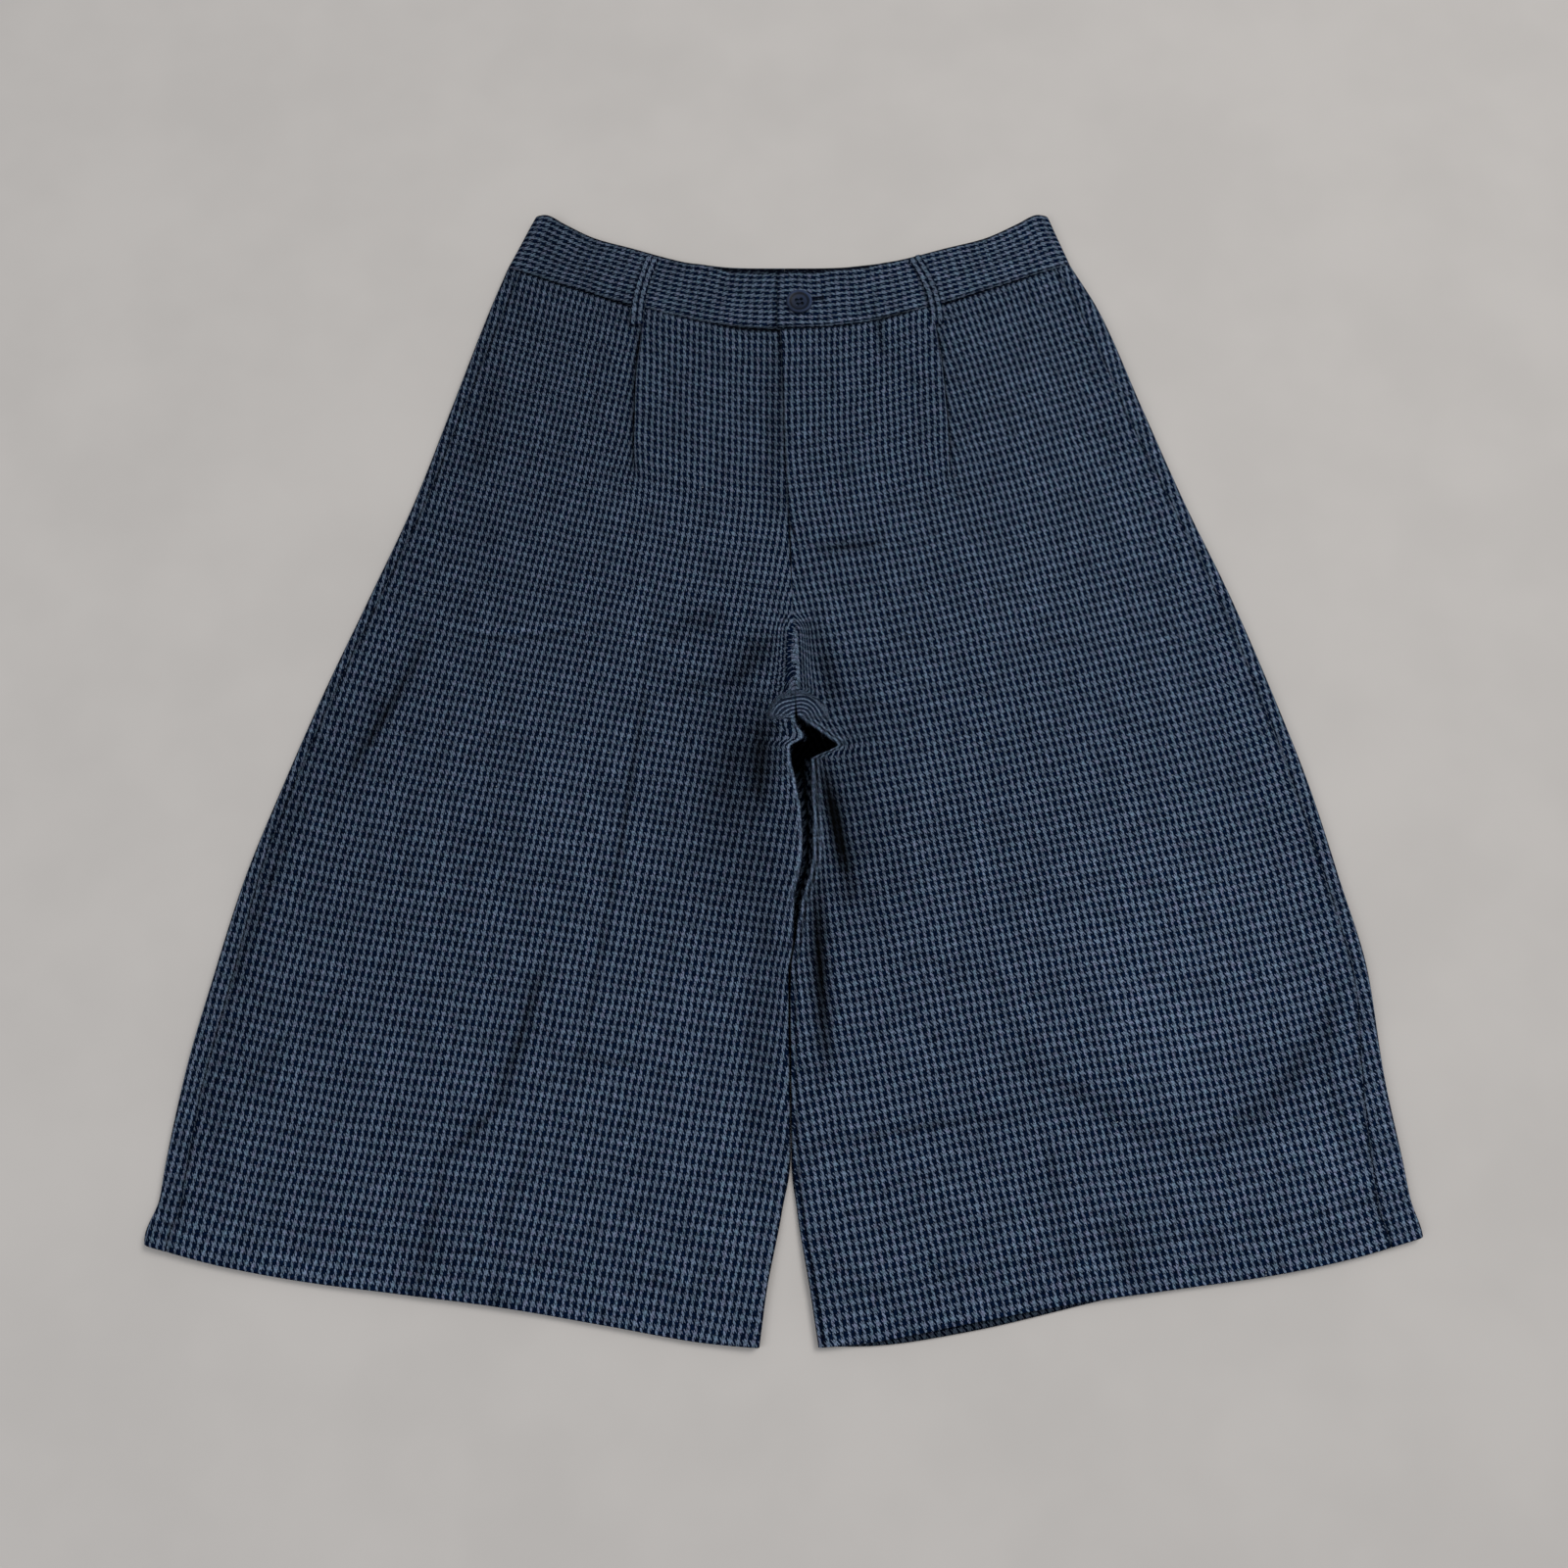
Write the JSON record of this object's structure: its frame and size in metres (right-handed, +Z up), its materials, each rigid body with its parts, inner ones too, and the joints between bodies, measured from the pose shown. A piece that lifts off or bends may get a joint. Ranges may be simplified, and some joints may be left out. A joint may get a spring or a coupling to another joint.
{
  "type": "pleated wide-leg shorts",
  "caption": "Wide-leg pleated shorts in houndstooth cloth laid flat, with a buttoned waistband, belt loops, lapped fly, side pockets and turned hems.",
  "frame": {"origin": "middle of the laid garment's bounding box, on the surface it lies on", "axes": "+X towards the wearer's left, +Y towards the waist, +Z up, away from the surface, through the front of the garment"},
  "size_m": [0.754, 0.7496, 0.0114],
  "materials": {
    "front_cloth": "houndstooth weave of dark navy and slate yarn, softly napped, down the leg",
    "back_cloth": "the same houndstooth weave, down the leg",
    "waistband_cloth": "the same houndstooth weave, turned along the waist",
    "loop_cloth": "the same houndstooth weave, along the loop",
    "button": "dark navy, satin rim and dished middle"
  },
  "bodies": {
    "root": {"front_right": "front_cloth", "front_left": "front_cloth", "back_right": "back_cloth", "back_left": "back_cloth", "waistband_right": "waistband_cloth", "waistband_left": "waistband_cloth", "belt_loop_right": "loop_cloth", "belt_loop_left": "loop_cloth", "button": "button"}
  },
  "joints": []
}
